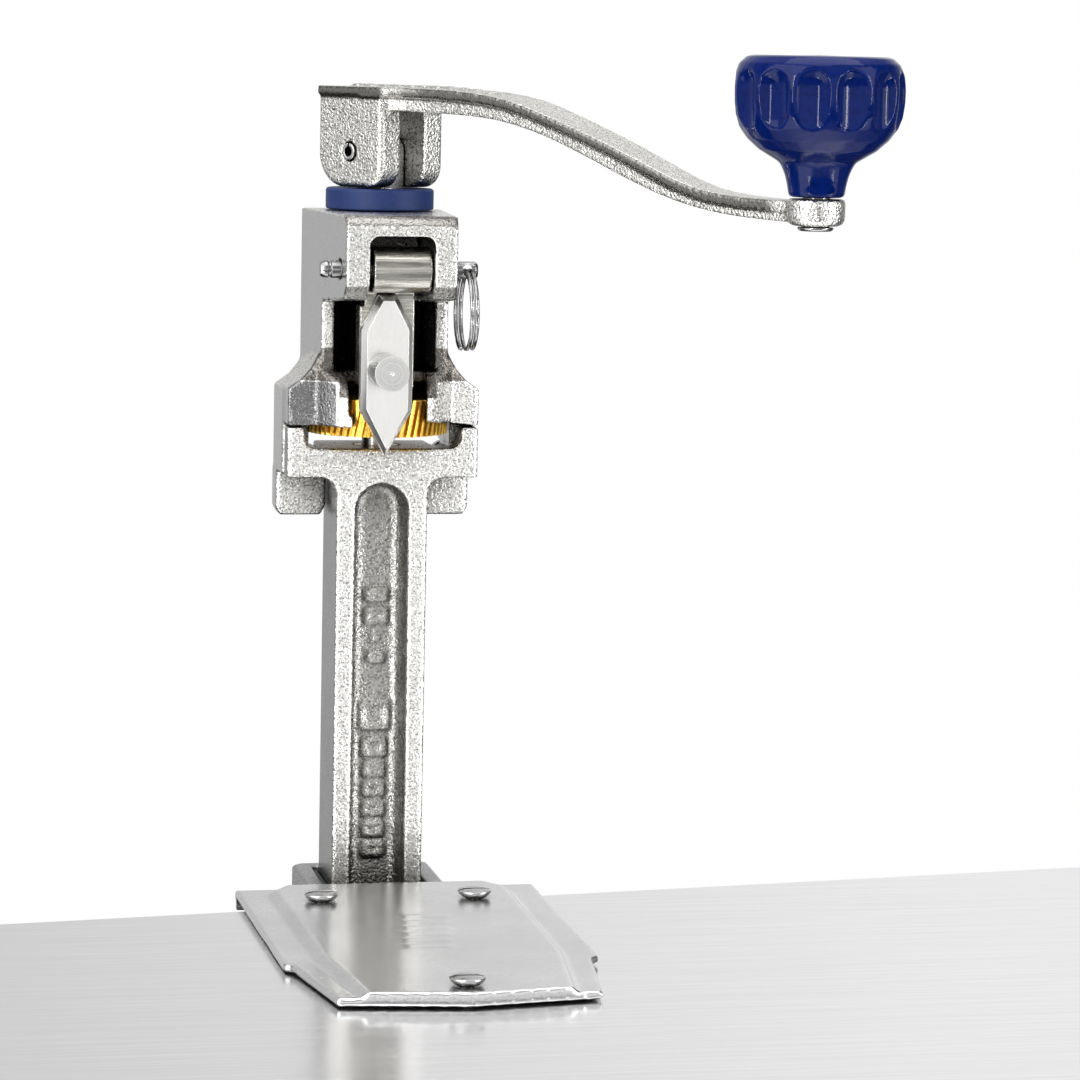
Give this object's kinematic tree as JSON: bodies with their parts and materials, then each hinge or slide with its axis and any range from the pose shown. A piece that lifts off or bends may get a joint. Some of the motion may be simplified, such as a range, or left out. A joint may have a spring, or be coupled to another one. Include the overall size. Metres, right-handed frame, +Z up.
{
  "type": "table-mount manual can opener",
  "caption": "Table-mount crank can opener: sliding bar in a screwed base, cast head with drive gear, pinned knife arm, folding crank and turning knob.",
  "frame": {"origin": "underside of the base plate, at the middle of the plate", "axes": "+Z up along the bar, -Y towards the person turning the crank, +X to that person's right"},
  "size_m": [0.1533, 0.1823, 0.4521],
  "materials": {
    "cast": "plated cast steel, fine speckle",
    "machined": "turned steel",
    "plate": "satin plated plate",
    "bright": "polished",
    "blade": "ground and polished",
    "gear_coat": "hard gold-coloured coating",
    "bushing": "plain bronze",
    "washer": "matte nylon",
    "knob": "glossy phenolic",
    "liner": "black nylon"
  },
  "bodies": {
    "base": {"base_plate": "plate", "bar_socket": "cast", "socket_liner": "liner", "front_pad": "liner", "socket_bolt_1": "bright", "socket_bolt_2": "bright", "base_screw_1": "bright", "base_screw_2": "bright", "base_screw_3": "bright"},
    "frame": {"bar": "cast", "foot_bushing": "bushing", "head_casting": "cast", "head_screw_1": "machined", "head_screw_2": "machined", "upper_bushing": "bushing"},
    "swivel": {"thrust_washer": "washer"},
    "arbor": {"arbor_shaft": "machined", "gear_key": "machined", "drive_gear": "gear_coat"},
    "handle": {"crank_handle": "cast", "handle_pin": "machined", "knob_spindle": "bright"},
    "knob_turn": {"knob": "knob", "knob_cap": "knob"},
    "knife_arm": {"knife_holder": "cast", "knife": "blade", "knife_stud": "bright"},
    "lock_pin": {"quick_release_pin": "bright", "detent_ball": "bright"},
    "ring": {"pull_ring": "bright"}
  },
  "joints": [
    {"name": "bar_slide", "type": "slide", "parent": "base", "child": "frame", "axis": [0, 0, 1], "range_m": [-0.07, 0.14]},
    {"name": "crank_spin", "type": "hinge", "parent": "frame", "child": "swivel", "pos_m": [0, 0.0927, 0.191], "axis": [0, 0, 1], "continuous": true},
    {"name": "gear_lift", "type": "slide", "parent": "swivel", "child": "arbor", "axis": [0, 0, 1], "range_m": [0, 0.0036]},
    {"name": "handle_fold", "type": "hinge", "parent": "arbor", "child": "handle", "pos_m": [0, 0.0927, 0.2042], "axis": [-0.8131, -0.5821, 0], "range_deg": [0, 90]},
    {"name": "knob_spin", "type": "hinge", "parent": "handle", "child": "knob_turn", "pos_m": [0.09023, -0.03333, 0.21], "axis": [0, 0, 1], "continuous": true},
    {"name": "knife_swing", "type": "hinge", "parent": "frame", "child": "knife_arm", "pos_m": [0, 0.061, 0.1732], "axis": [-1, 0, 0], "range_deg": [0, 60]},
    {"name": "pin_pull", "type": "slide", "parent": "frame", "child": "lock_pin", "axis": [1, 0, 0], "range_m": [0, 0.045]},
    {"name": "ring_swing", "type": "hinge", "parent": "lock_pin", "child": "ring", "pos_m": [0.0191, 0.061, 0.1732], "axis": [0, -1, 0], "range_deg": [0, 110]}
  ],
  "couplings": [
    {"joint": "gear_lift", "follows": "handle_fold", "m_per_rad": 0.0022}
  ]
}
